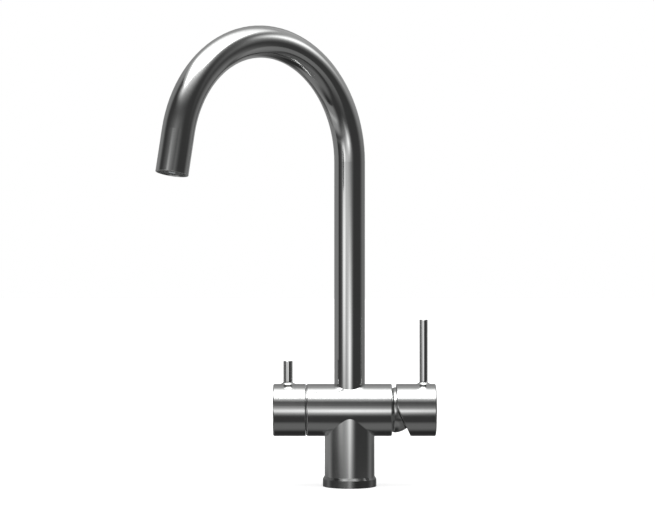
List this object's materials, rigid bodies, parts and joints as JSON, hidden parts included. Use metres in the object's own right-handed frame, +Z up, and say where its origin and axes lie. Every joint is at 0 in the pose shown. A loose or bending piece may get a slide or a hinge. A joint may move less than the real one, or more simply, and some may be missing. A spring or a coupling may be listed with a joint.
{
  "type": "kitchen tap",
  "caption": "Dark brushed steel kitchen tap with a swivelling swan-neck spout, a filtered-water knob on the left and a single-lever mixer on the right.",
  "frame": {"origin": "on the axis of the column, in the plane where its flange stands on the worktop", "axes": "+Z up, +X along the barrel to the mixer handle, -Y to the person using the tap"},
  "size_m": [0.2425, 0.1834, 0.41],
  "materials": {
    "body_steel": "dark brushed stainless steel, grain round the tubes",
    "lever_steel": "dark brushed stainless steel, fine straight grain",
    "polished_steel": "smooth polished dome and ring",
    "screw_steel": "plain screw steel",
    "brass": "turned brass",
    "copper": "drawn copper pipe",
    "ceramic": "polished white ceramic",
    "rubber": "black seal rubber",
    "grey_plastic": "moulded grey plastic",
    "clear_tube": "food-grade hose"
  },
  "bodies": {
    "tap_body": {"body_shell": "body_steel", "base_flange": "body_steel", "base_gasket": "rubber", "inlet_block": "brass", "riser_hot": "copper", "riser_cold": "copper", "riser_filtered": "copper", "spout_retaining_screw": "screw_steel", "filter_trim_ring": "polished_steel", "filter_valve_body": "screw_steel", "filter_valve_seal": "rubber", "filter_disc_fixed": "ceramic", "cartridge_base": "grey_plastic", "cartridge_seals": "rubber", "cartridge_disc_fixed": "ceramic", "cartridge_housing": "grey_plastic", "cartridge_nut": "brass", "ball_cover": "polished_steel"},
    "spout": {"spout_tube": "body_steel", "spout_hub": "brass", "spout_seals": "rubber", "spout_slide_rings": "grey_plastic", "filtered_water_tube": "clear_tube", "aerator_housing": "polished_steel", "aerator_insert": "grey_plastic"},
    "filter_lever": {"filter_knob": "body_steel", "filter_lever_pin": "lever_steel", "filter_grub_screw": "screw_steel", "filter_valve_spindle": "brass", "filter_disc_moving": "ceramic"},
    "mixer_carrier": {"cartridge_carrier": "grey_plastic", "cartridge_pivot_pin": "screw_steel"},
    "mixer_lever": {"mixer_handle": "body_steel", "mixer_lever_pin": "lever_steel", "mixer_grub_screw": "screw_steel", "mixer_spindle": "screw_steel"},
    "mixer_disc": {"cartridge_disc_moving": "ceramic", "cartridge_disc_driver": "grey_plastic"}
  },
  "joints": [
    {"name": "spout_swivel", "type": "hinge", "parent": "tap_body", "child": "spout", "pos_m": [0, 0, 0.0835], "axis": [0, 0, 1], "continuous": true},
    {"name": "filter_valve_turn", "type": "hinge", "parent": "tap_body", "child": "filter_lever", "pos_m": [-0.056, 0, 0.069], "axis": [1, 0, 0], "range_deg": [0, 90]},
    {"name": "mixer_temperature", "type": "hinge", "parent": "tap_body", "child": "mixer_carrier", "pos_m": [0.0395, 0, 0.069], "axis": [1, 0, 0], "range_deg": [-50, 50]},
    {"name": "mixer_flow", "type": "hinge", "parent": "mixer_carrier", "child": "mixer_lever", "pos_m": [0.0395, 0, 0.069], "axis": [0, 1, 0], "range_deg": [0, 25]},
    {"name": "mixer_disc_slide", "type": "slide", "parent": "mixer_carrier", "child": "mixer_disc", "axis": [0, 0, 1], "range_m": [0, 0.0047]}
  ],
  "couplings": [
    {"joint": "mixer_disc_slide", "follows": "mixer_flow", "m_per_rad": 0.010606}
  ]
}
